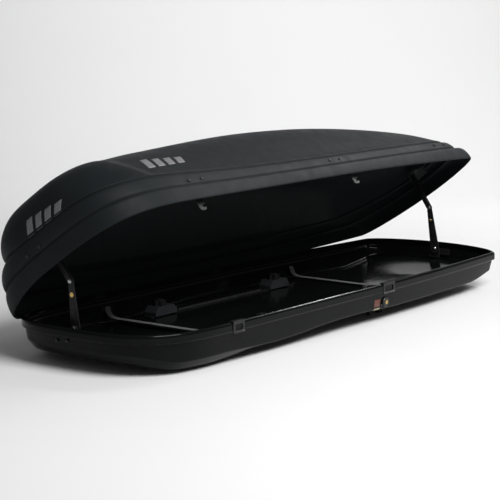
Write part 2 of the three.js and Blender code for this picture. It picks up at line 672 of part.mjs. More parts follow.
function clampHousing(x, y) {
  const base = RAIL_TOP + GAP;
  const block = prism('y', y - 25, y + 25, [[x - 56, base], [x + 56, base], [x + 56, base + 12], [x + 40, base + 30],
    [x - 40, base + 30], [x - 56, base + 12]]);
  const stem = prism('z', base + 29, base + 36, circle(x - 8, y, 9, 12));
  const claw = prism('y', y - 7, y + 7, [[x - 40, base + 2], [x - 40, -SEAT_DEPTH - 34], [x - 34, -SEAT_DEPTH - 40],
    [x - 18, -SEAT_DEPTH - 40], [x - 18, -SEAT_DEPTH - 34], [x - 30, -SEAT_DEPTH - 31], [x - 30, base + 2]]);
  const room = prism('y', y - 9.5, y + 9.5, [[x + 8, base - 2], [x + 46, base - 2], [x + 46, base + 14], [x + 8, base + 14]]);
  return fuse(cut(fuse(block, stem), room), claw);
}

function clampClaw(x, y) {
  const top = RAIL_TOP + GAP + 12;
  const outline = [[x + 30, top], [x + 30, -SEAT_DEPTH - 31], [x + 18, -SEAT_DEPTH - 34], [x + 18, -SEAT_DEPTH - 40],
    [x + 34, -SEAT_DEPTH - 40], [x + 40, -SEAT_DEPTH - 34], [x + 40, top]];
  return prism('y', y - 7, y + 7, outline);
}

// A hand knob with a scalloped rim.
function clampKnob(x, y) {
  const base = RAIL_TOP + GAP + 31;
  const count = 36;
  const outline = Array.from({ length: count }, (value, i) => {
    const turn = (i / count) * 2 * Math.PI;
    const radius = 21 + 2.4 * Math.cos(6 * turn);
    return [x - 8 + radius * Math.cos(turn), y + radius * Math.sin(turn)];
  });
  const rim = prism('z', base, base + 17, outline);
  const cap = prism('z', base + 16, base + 20, circle(x - 8, y, 14, 16));
  const socket = prism('z', base - 4, base + 6, circle(x - 8, y, 10, 12));
  return cut(fuse(rim, cap), socket);
}

// A flat webbing strap across the floor, turned up both walls.
function strapPath(x) {
  const reach = halfWidthAt(x) - 30;
  const low = RAIL_TOP + 5;
  return [[-reach, -44], [-reach + 8, low + 16], [-reach + 30, low], [reach - 30, low], [reach - 8, low + 16], [reach, -44]];
}

function loadStrap(x) {
  const path = strapPath(x);
  const thickness = 2;
  const upper = path.map(([y, z], i) => {
    const inward = i < 2 ? 1 : (i > 3 ? -1 : 0);
    return [y + inward * thickness, z + (inward === 0 || i === 2 || i === 3 ? thickness : 0)];
  });
  return prism('x', x - 12.5, x + 12.5, [...path, ...upper.reverse()]);
}

function strapBuckle(x) {
  const low = RAIL_TOP + 5 + 2 + GAP + 0.2;
  const frame = prism('z', low, low + 4, roundedRect(x - 19, -150, x + 19, -108, 5));
  const windows = [[-143, -132], [-126, -115]].map(([a, b]) => prism('z', low - 2, low + 6,
    [[x - 13.5, a], [x + 13.5, a], [x + 13.5, b], [x - 13.5, b]]));
  return cut(frame, ...windows);
}

// ---------------------------------------------------------------- finishes
const FINISH = {
  tub: [0x0b0c0d, 0.28, 0],
  lid: [0x23262a, 0.7, 0],
  blackSteel: [0x15161a, 0.45, 0.6],
  zinc: [0xa9adb0, 0.35, 0.9],
  brass: [0xb08a3c, 0.32, 0.9],
  blackPlastic: [0x131416, 0.5, 0],
  greyPlastic: [0x3a3d40, 0.55, 0],
  webbing: [0x1a1b1d, 0.9, 0],
};

const root = new THREE.Group();
root.name = 'roof_cargo_box';

function openLid() {
  const there = new THREE.Matrix4().makeTranslation(0, HINGE_Y, HINGE_Z);
  const back = new THREE.Matrix4().makeTranslation(0, -HINGE_Y, -HINGE_Z);
  return there.multiply(new THREE.Matrix4().makeRotationX(-OPEN_ANGLE)).multiply(back);
}

function add(name, geometry, finish, onLid = false) {
  const [color, roughness, metalness] = FINISH[finish];
  if (onLid) geometry.applyMatrix4(openLid());
  geometry.translate(0, 0, SEAT_DEPTH);
  geometry.computeVertexNormals();
  const mesh = new THREE.Mesh(geometry, new THREE.MeshStandardMaterial({ color, roughness, metalness }));
  mesh.name = name;
  root.add(mesh);
}

add('base_tub', baseTub(), 'tub');
add('lid_shell', lidShell(), 'lid', true);

HINGE_X.forEach((x, i) => {
  const place = ['rear', 'front'][i];
  add(`hinge_${place}_base_leaf`, hingeBaseLeaf(x), 'blackSteel');
  add(`hinge_${place}_lid_leaf`, hingeLidLeaf(x), 'blackSteel', true);
  add(`hinge_${place}_pin`, hingePin(x), 'zinc');
});

const spots = lidRivetSpots();
['rear', 'front'].forEach((place, i) => {
  const rivets = spots[place].map(([x, y]) => [x, y, RIVET_HEIGHT[place]]);
  add(`catch_${place}`, rimCatch(CATCH_X[i], CATCH_WIDTH[i]), 'blackSteel');
  add(`lid_hook_${place}`, lidHook(CATCH_X[i], rivets), 'blackSteel', true);
});

Object.entries(spots).forEach(([group, list]) => list.forEach(([x, y, angle], i) => {
  const grips = { tail: 16.5, rear: -y + hookPlane(CATCH_X[0]) + 3, front: -y + hookPlane(CATCH_X[1]) + 3, nose: 8 };
  const frame = outwardFrame(x, y, angle, RIVET_HEIGHT[group]);
  add(`lid_rivet_${group}_${i + 1}`, rivet(frame, grips[group]), 'blackSteel', true);
}));

add('lock_housing', lockHousing(), 'blackPlastic');
add('lock_cylinder', lockCylinder(), 'brass');
add('lock_rod', lockRod(), 'zinc');
add('rod_guide_rear', rodGuide(-480), 'blackPlastic');
add('rod_guide_front', rodGuide(-60), 'blackPlastic');

Object.entries(LIFTERS).forEach(([place, lifter]) => {
  add(`lifter_${place}_base_bracket`, lifterBaseBracket(lifter), 'blackSteel');
  add(`lifter_${place}_base_rivet`, basePivotRivet(lifter), 'zinc');
  add(`lifter_${place}_lower_arm`, lifterLowerArm(lifter), 'blackSteel');
  add(`lifter_${place}_eyelet`, lifterEyelet(lifter), 'brass');
  add(`lifter_${place}_elbow_rivet`, elbowRivet(lifter), 'zinc');
  add(`lifter_${place}_upper_arm`, lifterUpperArm(lifter), 'blackSteel');
  add(`lifter_${place}_lid_bracket`, lifterLidBracket(lifter), 'zinc', true);
});

TUB_RIVETS.forEach(([y, z], i) => {
  const spot = outwardFrame(-(LENGTH / 2 - 8), y, Math.PI, z - 6);
  const profile = [[0, -24], [5, -24], [5, -22.6], [2.2, -22.6], [2.2, 1.8], [6, 1.8], [5, 3.6], [0, 4.2]];
  add(`tub_rivet_${i + 1}`, turned('x', [0, 0, 0], profile, 10).applyMatrix4(spot), 'blackSteel');
});

[[-1, 'near'], [1, 'far']].forEach(([side, name]) => {
  add(`floor_rail_${name}`, floorRail(side), 'blackSteel');
  CLAMP_X.forEach((x, i) => {
    const place = `${['rear', 'front'][i]}_${name}`;
    add(`clamp_${place}_housing`, clampHousing(x, side * CLAMP_Y), 'greyPlastic');
    add(`clamp_${place}_claw`, clampClaw(x, side * CLAMP_Y), 'blackSteel');
    add(`clamp_${place}_knob`, clampKnob(x, side * CLAMP_Y), 'blackPlastic');
  });
});

STRAP_X.forEach((x, i) => {
  const place = ['rear', 'front'][i];
  add(`load_strap_${place}`, loadStrap(x), 'webbing');
  add(`strap_buckle_${place}`, strapBuckle(x), 'blackPlastic');
});

export default root;
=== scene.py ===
"""Looks for the roof cargo box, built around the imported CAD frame.

Lengths are in metres, apart from names that end in _MM and the shell profiles, which are in millimetres
with heights taken from the rim.
"""
import json
import math

import bpy
import bmesh
from mathutils import Matrix, Vector
from mathutils.bvhtree import BVHTree


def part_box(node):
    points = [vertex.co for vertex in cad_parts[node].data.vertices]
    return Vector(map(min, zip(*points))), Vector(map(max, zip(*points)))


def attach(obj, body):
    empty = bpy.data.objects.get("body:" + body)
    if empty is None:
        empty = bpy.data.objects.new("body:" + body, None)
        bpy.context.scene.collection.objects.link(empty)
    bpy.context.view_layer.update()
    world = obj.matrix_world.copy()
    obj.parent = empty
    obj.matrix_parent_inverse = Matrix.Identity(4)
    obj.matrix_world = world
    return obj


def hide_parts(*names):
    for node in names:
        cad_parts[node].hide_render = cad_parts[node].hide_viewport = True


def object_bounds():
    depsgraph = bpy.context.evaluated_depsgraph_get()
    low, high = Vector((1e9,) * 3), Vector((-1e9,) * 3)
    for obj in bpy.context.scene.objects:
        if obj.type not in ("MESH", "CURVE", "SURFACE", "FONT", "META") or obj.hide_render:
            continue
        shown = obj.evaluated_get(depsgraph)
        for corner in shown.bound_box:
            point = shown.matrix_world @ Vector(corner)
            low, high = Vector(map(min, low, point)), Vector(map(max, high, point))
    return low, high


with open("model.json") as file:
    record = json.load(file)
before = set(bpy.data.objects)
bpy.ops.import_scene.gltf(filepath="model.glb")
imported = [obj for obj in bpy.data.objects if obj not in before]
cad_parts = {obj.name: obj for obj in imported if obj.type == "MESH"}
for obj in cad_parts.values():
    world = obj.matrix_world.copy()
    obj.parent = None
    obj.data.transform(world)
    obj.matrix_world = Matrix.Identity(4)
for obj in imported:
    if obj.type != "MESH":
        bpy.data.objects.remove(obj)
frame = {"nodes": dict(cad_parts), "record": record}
CAD_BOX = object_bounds()
NODES = frame["nodes"]
JOINTS = {j["name"]: j for j in frame["record"]["behaviour"]["joints"]}
MM = 0.001

# ------------------------------------------------------------- driving dimensions, as in the CAD, in mm
LENGTH_MM = 2150.0
WIDTH_MM = 660.0
RIM_Z_MM = 93.0
BELLY_DEPTH_MM = 121.0
SEAT_DEPTH_MM = 93.0
LID_OFFSET_MM = 8.0
LID_WALL_MM = 4.0
TUB_WALL_MM = 5.0
SKIRT_DROP_MM = 22.0
TAIL_ROUNDING_MM = 378.0
NOSE_ROUNDING_MM = 109.0
NOSE_TAPER = 0.156
TAIL_POWER = 3.26
NOSE_POWER = 1.84
RING_STEPS = 150
HINGE = Vector(JOINTS["lid_hinge"]["pos_m"])
CAMERA_YAW = math.radians(36.645)
CAMERA_PITCH = math.radians(-8.909)
CAMERA_PLACE = (-5.2713, -3.7911)
CAMERA_ABOVE_RIM = 1.12
CAMERA_LENS_MM = 138.23
FLOOR_CLEARANCE = 0.0005
EDGE_BEVEL = 0.0005
FILM_LIFT = 0.0004
LABEL_OFFSET = 0.048
LABEL_WIDTH = 0.036
STRAP_THICKNESS = 0.0014
WORLD_STRENGTH = 0.15
OPEN_ANGLE = math.radians(-JOINTS["lid_hinge"]["range_deg"][0])


def clamp01(value):
    return min(1.0, max(0.0, value))


def smooth(value):
    t = clamp01(value)
    return t * t * (3 - 2 * t)


def mix(a, b, t):
    return a + (b - a) * t


# ------------------------------------------------------------- plan outline and rings
def half_width_at(x, offset=0.0, nose_rounding=NOSE_ROUNDING_MM):
    half_length = LENGTH_MM / 2 + offset
    share = clamp01(x / half_length)
    straight = WIDTH_MM / 2 * (1 - NOSE_TAPER * share**2) + offset
    tail = clamp01((TAIL_ROUNDING_MM - (x + half_length)) / TAIL_ROUNDING_MM)
    nose = clamp01((nose_rounding - (half_length - x)) / nose_rounding)
    return straight * (1 - tail**TAIL_POWER) ** (1 / TAIL_POWER) * (1 - nose**NOSE_POWER) ** (1 / NOSE_POWER)


def half_outline(offset, steps):
    """Near half of the plan outline from tail to nose, closer spaced where it turns."""
    half_length = LENGTH_MM / 2 + offset
    fine = []
    for i in range(1601):
        x = -math.cos(i / 1600 * math.pi) * half_length
        fine.append((x, -half_width_at(x, offset)))
    weights = [0.0]
    for i in range(1, len(fine)):
        dx, dy = fine[i][0] - fine[i - 1][0], fine[i][1] - fine[i - 1][1]
        turn = 0.0
        if i > 1:
            ex, ey = fine[i - 1][0] - fine[i - 2][0], fine[i - 1][1] - fine[i - 2][1]
            turn = abs(math.atan2(ex * dy - ey * dx, ex * dx + ey * dy))
        weights.append(weights[-1] + math.hypot(dx, dy) / 1700 + turn / math.pi)
    points, k = [], 1
    for i in range(steps + 1):
        target = weights[-1] * i / steps
        while k < len(weights) - 1 and weights[k] < target:
            k += 1
        t = clamp01((target - weights[k - 1]) / (weights[k] - weights[k - 1]))
        points.append((mix(fine[k - 1][0], fine[k][0], t), mix(fine[k - 1][1], fine[k][1], t)))
    return points


def far_tail(x, y):
    """1 at the tail corner on the hinge side, fading to 0 along the tail and the side."""
    return smooth((-x - 740) / 280) * smooth((y - 40) / 260)


def ring(half, offset, side, tail, nose, height, rounding=NOSE_ROUNDING_MM,
         far_in=0.0, far_lift=0.0, push=None):
    """A ring of the outline drawn in by side, tail and nose, with its nose corners rounded by rounding.

    far_in and far_lift shape the far tail corner, and push(x) draws the sides in further.
    """
    half_length = LENGTH_MM / 2 + offset
    half_width = WIDTH_MM / 2 + offset
    start, end = -half_length + tail, half_length - nose
    near = []
    for x, y in half:
        own = half_width_at(x, offset)
        rounder = half_width_at(x, offset, rounding) / own if own > 1e-6 else 1.0
        px = (start + end) / 2 + x * (end - start) / (2 * half_length)
        py = y * rounder * (half_width - side) / half_width
        if push:
            py += push(px) * clamp01(-y / (0.8 * half_width))
        near.append((px, min(py, 0.0), height(px) + RIM_Z_MM))
    far = []
    for x, y, z in near[-2:0:-1]:
        share = far_tail(x, -y)
        far.append((x + 0.6 * far_in * share, -y - 0.8 * far_in * share, z + far_lift * share))
    return near + far


def loft_mesh(name, rings):
    """Quads between rings; the first and last ring are closed across their width."""
    count = len(rings[0])
    half = count // 2
    vertices = [Vector(p) * MM for loop in rings for p in loop]
    faces = []
    for k in range(len(rings) - 1):
        for i in range(count):
            a, b = k * count + i, k * count + (i + 1) % count
            faces.append((a, b, b + count, a + count))
    for base in (0, (len(rings) - 1) * count):
        for i in range(half):
            quad = [base + i, base + i + 1, base + (count - i - 1) % count, base + (count - i) % count]
            unique = list(dict.fromkeys(quad))
            faces.append(tuple(unique))
    mesh = bpy.data.meshes.new(name)
    mesh.from_pydata(vertices, [], faces)
    body = bmesh.new()
    body.from_mesh(mesh)
    bmesh.ops.recalc_face_normals(body, faces=body.faces)
    body.to_mesh(mesh)
    body.free()
    return mesh


def place(name, mesh, material):
    piece = bpy.data.objects.new(name, mesh)
    bpy.context.scene.collection.objects.link(piece)
    mesh.materials.append(material)
    for polygon in mesh.polygons:
        polygon.use_smooth = True
    return piece


def apply_modifiers(piece):
    """Leaves the evaluated mesh on the piece, with no modifiers."""
    graph = bpy.context.evaluated_depsgraph_get()
    final = bpy.data.meshes.new_from_object(piece.evaluated_get(graph))
    old = piece.data
    piece.modifiers.clear()
    piece.data = final
    bpy.data.meshes.remove(old)


def subdivide(piece, levels=1):
    modifier = piece.modifiers.new("smooth", "SUBSURF")
    modifier.levels = levels
    modifier.render_levels = levels
    apply_modifiers(piece)


# ------------------------------------------------------------- shell profiles
def lower_groove(x):
    u = x / (LENGTH_MM / 2)
    return 22.3 - 2.9 * u + 13.7 * u * u


def upper_groove(x):
    u = x / (LENGTH_MM / 2)
    return 59 - 8 * u + 27 * u * u - (15 * u**4 if u > 0 else 0)


def shoulder(x):
    u = x / (LENGTH_MM / 2)
    nose_drop = 52 * u**4 + 11 * smooth((u - 0.1) / 0.7) if u > 0 else 0
    tail_dip = 10 * smooth((-x - 80) / 620) * (1 - smooth((-x - 830) / 130))
    return 240 - 30 * u - 59 * u * u - nose_drop - tail_dip


def crown(x, share):
    return shoulder(x) + share * 38 * (shoulder(x) - upper_groove(x)) / 181


PANEL_DEPTH_MM = 9.0
PANEL_START_MM = (-848.0, -905.0)


def panel_push(share):
    """The side panel is sunk in behind a slanted crease near the tail and fades out at the nose."""
    start = mix(PANEL_START_MM[0], PANEL_START_MM[1], share)

    def push(x):
        return PANEL_DEPTH_MM * smooth((x - start) / 26) * (1 - smooth((x - 150) / 650))

    return push


def lid_rows():
    def rise(share):
        return lambda x: mix(upper_groove(x) + 6, shoulder(x), share)

    def low(delta):
        return lambda x: lower_groove(x) + delta

    def high(delta):
        return lambda x: upper_groove(x) + delta

    def bulge(share):
        return lambda x: mix(-SKIRT_DROP_MM, lower_groove(x), share)

    def band(share):
        return lambda x: mix(lower_groove(x) + 6, upper_groove(x) - 6, share)

    rows = [
        (1.0, 1.0, 1.0, lambda x: -SKIRT_DROP_MM, 109, -12, -28, None),
        (-0.6, -0.8, 0.0, lambda x: -SKIRT_DROP_MM + 1.0, 109, -12, -28, None),
        (-1.2, -1.6, 0.0, bulge(0.12), 110, -13, -27, None),
        (-1.5, -2.0, 1.0, bulge(0.35), 112, -14, -25, None),
        (-0.8, -2.4, 3.0, bulge(0.65), 119, -12, -21, None),
        (0.6, -2.8, 6.0, low(-5.5), 133, -6, -16, None),
        (2.0, -1.6, 9.0, low(-2.6), 146, -3, -14, None),
        (5.8, 2.4, 17.0, low(-0.4), 176, 2, -13, None),
        (5.4, 0.4, 18.0, low(1.2), 181, 2, -12, None),
        (3.9, -4.0, 16.0, low(4.0), 181, 0, -11, None),
        (4.2, -6.0, 16.0, band(0.1), 182, -1, -9, None),
        (6.4, -8.0, 18.0, band(0.5), 188, 3, -3, None),
        (9.6, -5.4, 21.0, band(0.95), 198, 16, 4, None),
        (11.0, -3.6, 25.0, high(-3.2), 208, 28, 6, None),
        (16.4, 3.4, 34.0, high(-0.8), 230, 41, 8, None),
        (16.2, 2.4, 35.0, high(1.0), 234, 43, 9, None),
        (14.2, -1.4, 34.0, high(3.6), 236, 41, 10, None),
        (15.2, -2.2, 34.0, high(6.5), 238, 37, 11, None),
        (19.6, -1.4, 36.0, rise(0.05), 240, 31, 12, panel_push(0.02)),
        (25.0, -0.4, 38.0, rise(0.11), 242, 27, 14, panel_push(0.1)),
        (36.0, 2.0, 43.0, rise(0.24), 246, 23, 19, panel_push(0.24)),
        (50.0, 7.0, 49.0, rise(0.40), 250, 21, 21, panel_push(0.4)),
        (66.0, 14.0, 55.0, rise(0.56), 254, 21, 22, panel_push(0.56)),
        (82.0, 22.5, 63.0, rise(0.71), 256, 23, 18, panel_push(0.71)),
        (98.0, 32.0, 73.0, rise(0.84), 258, 25, 13, panel_push(0.84)),
        (112.0, 42.0, 85.0, rise(0.93), 258, 27, 9, panel_push(0.93)),
        (128.0, 54.0, 99.0, shoulder, 258, 26, 5, lambda x: 0.7 * panel_push(1.0)(x)),
        (143.0, 68.0, 116.0, lambda x: crown(x, 0.21), 255, 22, 3, lambda x: 0.3 * panel_push(1.0)(x)),
        (160.0, 84.0, 135.0, lambda x: crown(x, 0.38), 250, 16, 1, None),
        (181.0, 107.0, 162.0, lambda x: crown(x, 0.54), 245, 10, 0, None),
        (205.0, 132.0, 192.0, lambda x: crown(x, 0.69), 240, 5, 0, None),
        (232.0, 166.0, 234.0, lambda x: crown(x, 0.82), 230, 0, 0, None),
        (262.0, 205.0, 284.0, lambda x: crown(x, 0.92), 215, 0, 0, None),
        (292.0, 248.0, 340.0, lambda x: crown(x, 0.98), 200, 0, 0, None),
        (318.0, 290.0, 395.0, lambda x: crown(x, 1.0), 180, 0, 0, None),
    ]
    return rows


def lid_mesh():
    half = half_outline(LID_OFFSET_MM, RING_STEPS)
    rows = lid_rows()
    outer = [ring(half, LID_OFFSET_MM, *row) for row in rows]
    inner = []
    for i, (side, tail, nose, height, rounding, far_in, far_lift, push) in enumerate(rows):
        lean = clamp01((i - 18) / (len(rows) - 19))
        draw = LID_WALL_MM * math.cos(lean * math.pi / 2)
        drop = LID_WALL_MM * math.sin(lean * math.pi / 2)
        if i < 2:
            draw = LID_WALL_MM - 2.0 + i
        inner.append(ring(half, LID_OFFSET_MM, side + draw, tail + draw, nose + draw,
                          lambda x, h=height, d=drop: h(x) - d, rounding, far_in, far_lift, push))
    return loft_mesh("lid_shell_fine", outer[::-1] + inner)


def floor_height(x):
    belly = mix(-BELLY_DEPTH_MM, -SEAT_DEPTH_MM, smooth((x + 695) / 180))
    return belly + 26 * smooth((-900 - x) / 150) + 34 * smooth((x - 760) / 300)


def wall_foot(x):
    belly = mix(-BELLY_DEPTH_MM, -SEAT_DEPTH_MM - 14, smooth((x + 800) / 380))
    middle = mix(belly, -SEAT_DEPTH_MM + 1, smooth((x + 450) / 380))
    front = 6 * smooth((x - 40) / 200)
    return middle - front + 26 * smooth((-900 - x) / 150) + 34 * smooth((x - 780) / 290)


def chamfer_height(x):
    return mix(28, 7, smooth((x + 760) / 320))


def tub_rings(half):
    def at(inset, height):
        return ring(half, 0, inset, inset, inset, height)

    def level(z):
        return lambda x: z

    def hip(delta):
        return lambda x: wall_foot(x) + chamfer_height(x) + delta

    def foot(delta):
        return lambda x: wall_foot(x) + delta

    def keel(delta):
        return lambda x: mix(wall_foot(x), floor_height(x), 0.75) + delta

    def floor(delta):
        return lambda x: floor_height(x) + delta

    outer = [
        at(290, floor(0.2)), at(200, floor(0.2)), at(105, floor(0.2)), at(82, floor(0.2)), at(62, keel(0.3)),
        at(45, foot(0.6)), at(39, foot(0.5)), at(34, foot(2.2)),
        at(17, hip(-3.2)), at(14.6, hip(-0.6)), at(13.6, hip(2.4)), at(11.5, hip(18)),
        at(8.6, level(-40)), at(8.1, level(-33.6)), at(7.2, level(-31.4)), at(4.6, level(-30.4)),
        at(1.4, level(-29.8)), at(-0.3, level(-28.4)), at(-0.9, level(-26)), at(-0.9, level(-14)),
        at(-0.8, level(-10)), at(-0.1, level(-6.4)), at(1.3, level(-3.4)), at(3.4, level(-1.2)),
        at(5.6, level(-0.2)),
    ]
    inner = [
        at(7.4, level(-0.3)), at(8.6, level(-1.4)), at(8.9, level(-4)), at(7.4, level(-14)),
        at(7.2, level(-25)), at(8.4, level(-28)),
        at(12.6, level(-31.4)), at(14, level(-35)), at(18, hip(12)), at(20, hip(2)), at(23, hip(-4)),
        at(40, foot(TUB_WALL_MM + 3)), at(46, foot(TUB_WALL_MM + 1)), at(68, keel(TUB_WALL_MM + 0.2)),
        at(88, floor(TUB_WALL_MM)), at(109, floor(TUB_WALL_MM)), at(200, floor(TUB_WALL_MM)),
        at(290, floor(TUB_WALL_MM)),
    ]
    return outer + inner


# ------------------------------------------------------------- materials
def new_material(name):
    material = bpy.data.materials.new(name)
    material.use_nodes = True
    tree = material.node_tree
    shader = tree.nodes["Principled BSDF"]
    coords = tree.nodes.new("ShaderNodeTexCoord")
    return material, tree, shader, coords


def noise(tree, coords, scale, detail=3.0, roughness=0.5):
    node = tree.nodes.new("ShaderNodeTexNoise")
    node.inputs["Scale"].default_value = scale
    node.inputs["Detail"].default_value = detail
    node.inputs["Roughness"].default_value = roughness
    tree.links.new(coords.outputs["Object"], node.inputs["Vector"])
    return node


def ramp(tree, source, low, high, start=0.0, end=1.0):
    """Maps a 0..1 factor between two values or colours."""
    node = tree.nodes.new("ShaderNodeValToRGB")
    node.color_ramp.elements[0].position = start
    node.color_ramp.elements[1].position = end
    for element, value in zip(node.color_ramp.elements, (low, high)):
        colour = value if isinstance(value, tuple) else (value, value, value)
        element.color = (*colour, 1.0)
    tree.links.new(source, node.inputs["Fac"])
    return node.outputs["Color"]


def add_bump(tree, shader, source, distance, strength=1.0):
    node = tree.nodes.new("ShaderNodeBump")
    node.inputs["Strength"].default_value = strength
    node.inputs["Distance"].default_value = distance
    tree.links.new(source, node.inputs["Height"])
    tree.links.new(node.outputs["Normal"], shader.inputs["Normal"])


def grained_plastic(name, dark, light, rough, grain_size, grain_depth, specular=0.5):
    """Moulded plastic with a fine pebbled grain and slow changes of tone and gloss."""
    material, tree, shader, coords = new_material(name)
    tone = noise(tree, coords, 9.0)
    tree.links.new(ramp(tree, tone.outputs["Fac"], dark, light, 0.3, 0.7), shader.inputs["Base Color"])
    gloss = noise(tree, coords, 26.0)
    tree.links.new(ramp(tree, gloss.outputs["Fac"], rough[0], rough[1], 0.3, 0.7), shader.inputs["Roughness"])
    grain = noise(tree, coords, 1 / grain_size, 2.0, 0.6)
    add_bump(tree, shader, grain.outputs["Fac"], grain_depth)
    shader.inputs["Specular IOR Level"].default_value = specular
    return material


def sheet_plastic(name, dark, light, rough, specular):
    """Glossy formed sheet: smooth, with a faint orange peel and a little dust in the gloss."""
    material, tree, shader, coords = new_material(name)
    tone = noise(tree, coords, 5.0)
    tree.links.new(ramp(tree, tone.outputs["Fac"], dark, light, 0.3, 0.7), shader.inputs["Base Color"])
    dust = noise(tree, coords, 70.0, 5.0, 0.7)
    gloss = ramp(tree, dust.outputs["Fac"], rough[0], rough[1], 0.45, 0.75)
    tree.links.new(gloss, shader.inputs["Roughness"])
    peel = noise(tree, coords, 60.0, 2.0)
    add_bump(tree, shader, peel.outputs["Fac"], 0.0004, 0.5)
    shader.inputs["Specular IOR Level"].default_value = specular
    return material


def metal(name, dark, light, rough, brushed=0.0):
    """Plated or turned metal with fine brushing and patchy gloss."""
    material, tree, shader, coords = new_material(name)
    shader.inputs["Metallic"].default_value = 1.0
    tone = noise(tree, coords, 60.0, 4.0)
    tree.links.new(ramp(tree, tone.outputs["Fac"], dark, light, 0.3, 0.7), shader.inputs["Base Color"])
    patch = noise(tree, coords, 140.0, 4.0)
    tree.links.new(ramp(tree, patch.outputs["Fac"], rough[0], rough[1], 0.3, 0.7), shader.inputs["Roughness"])
    stretch = tree.nodes.new("ShaderNodeMapping")
    stretch.inputs["Scale"].default_value = (40.0, 900.0, 900.0)
    tree.links.new(coords.outputs["Object"], stretch.inputs["Vector"])
    lines = tree.nodes.new("ShaderNodeTexNoise")
    lines.inputs["Scale"].default_value = 1.0
    tree.links.new(stretch.outputs["Vector"], lines.inputs["Vector"])
    add_bump(tree, shader, lines.outputs["Fac"], 0.00012, brushed)
    return material


def powder_coat(name):
    material, tree, shader, coords = new_material(name)
    tone = noise(tree, coords, 40.0)
    tree.links.new(ramp(tree, tone.outputs["Fac"], (0.009, 0.009, 0.010), (0.018, 0.018, 0.020), 0.3, 0.7),
                   shader.inputs["Base Color"])
    wear = noise(tree, coords, 220.0, 4.0)
    tree.links.new(ramp(tree, wear.outputs["Fac"], 0.32, 0.5, 0.3, 0.7), shader.inputs["Roughness"])
    grain = noise(tree, coords, 1500.0, 2.0)
    add_bump(tree, shader, grain.outputs["Fac"], 0.00008, 0.8)
    shader.inputs["Specular IOR Level"].default_value = 0.22
    return material


def woven_webbing(name):
    """Plain-weave strap: two crossed waves for the yarns, with a soft sheen."""
    material, tree, shader, coords = new_material(name)
    waves = []
    for direction, scale in (("X", 190.0), ("Y", 150.0)):
        wave = tree.nodes.new("ShaderNodeTexWave")
        wave.bands_direction = direction
        wave.inputs["Scale"].default_value = scale
        wave.inputs["Distortion"].default_value = 0.6
        tree.links.new(coords.outputs["Object"], wave.inputs["Vector"])
        waves.append(wave.outputs["Fac"])
    weave = tree.nodes.new("ShaderNodeMath")
    weave.operation = "MULTIPLY"
    for source, socket in zip(waves, weave.inputs):
        tree.links.new(source, socket)
    tree.links.new(ramp(tree, weave.outputs["Value"], (0.006, 0.006, 0.007), (0.03, 0.03, 0.032)),
                   shader.inputs["Base Color"])
    shader.inputs["Roughness"].default_value = 0.85
    shader.inputs["Sheen Weight"].default_value = 0.3
    add_bump(tree, shader, weave.outputs["Value"], 0.0006)
    return material


def printed_label(name, dark, light):
    """Satin print on thin film, slightly mottled."""
    material, tree, shader, coords = new_material(name)
    tone = noise(tree, coords, 120.0, 4.0)
    tree.links.new(ramp(tree, tone.outputs["Fac"], dark, light, 0.3, 0.7), shader.inputs["Base Color"])
    grain = noise(tree, coords, 900.0)
    tree.links.new(ramp(tree, grain.outputs["Fac"], 0.45, 0.6), shader.inputs["Roughness"])
    add_bump(tree, shader, grain.outputs["Fac"], 0.00005, 0.5)
    return material


LID_ABS = grained_plastic("lid_grained_abs", (0.0095, 0.0116, 0.013), (0.0116, 0.014, 0.0156),
                          (0.48, 0.58), 0.0016, 0.00022, 0.09)
TUB_ABS = sheet_plastic("tub_gloss_abs", (0.003, 0.0033, 0.0034), (0.0042, 0.0046, 0.0047),
                        (0.1, 0.19), 0.08)
BLACK_STEEL = powder_coat("black_powder_coat")
ZINC = metal("zinc_plate", (0.42, 0.43, 0.44), (0.6, 0.61, 0.62), (0.24, 0.38), 0.5)
BRASS = metal("brass", (0.55, 0.36, 0.1), (0.75, 0.54, 0.2), (0.2, 0.34), 0.3)
BLACK_PLASTIC = grained_plastic("black_moulding", (0.006, 0.006, 0.007), (0.011, 0.011, 0.012),
                                (0.35, 0.5), 0.0009, 0.00012)
GREY_PLASTIC = grained_plastic("grey_moulding", (0.022, 0.024, 0.026), (0.032, 0.034, 0.037),
                               (0.4, 0.55), 0.0009, 0.00012)
WEBBING = woven_webbing("black_webbing")
EMBLEM = printed_label("emblem_print", (0.12, 0.12, 0.125), (0.18, 0.18, 0.185))
LABEL_RED = printed_label("label_red_print", (0.1, 0.03, 0.02), (0.15, 0.045, 0.032))
LABEL_PALE = printed_label("label_pale_print", (0.26, 0.25, 0.16), (0.34, 0.33, 0.22))

SLOT_MATERIAL = {
    "tub_abs": TUB_ABS, "lid_abs": LID_ABS, "black_steel": BLACK_STEEL, "zinc_steel": ZINC,
    "brass_trim": BRASS, "black_plastic": BLACK_PLASTIC, "grey_plastic": GREY_PLASTIC, "webbing": WEBBING,
}


# ------------------------------------------------------------- shells
def open_matrix():
    turn = Matrix.Rotation(-OPEN_ANGLE, 4, "X")
    return Matrix.Translation(HINGE) @ turn @ Matrix.Translation(-HINGE)


def build_tub():
    rings = tub_rings(half_outline(0, RING_STEPS))
    tub = place("tub_shell_fine", loft_mesh("tub_shell_fine", rings), TUB_ABS)
    subdivide(tub)
    cutters = [box_cutter(*spot) for spot in tub_openings()]
    for cutter in cutters:
        modifier = tub.modifiers.new("cut", "BOOLEAN")
        modifier.operation = "DIFFERENCE"
        modifier.solver = "EXACT"
        modifier.object = cutter
    apply_modifiers(tub)
    for cutter in cutters:
        bpy.data.objects.remove(cutter)
    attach(tub, "tub")
    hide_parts("base_tub")
    return tub


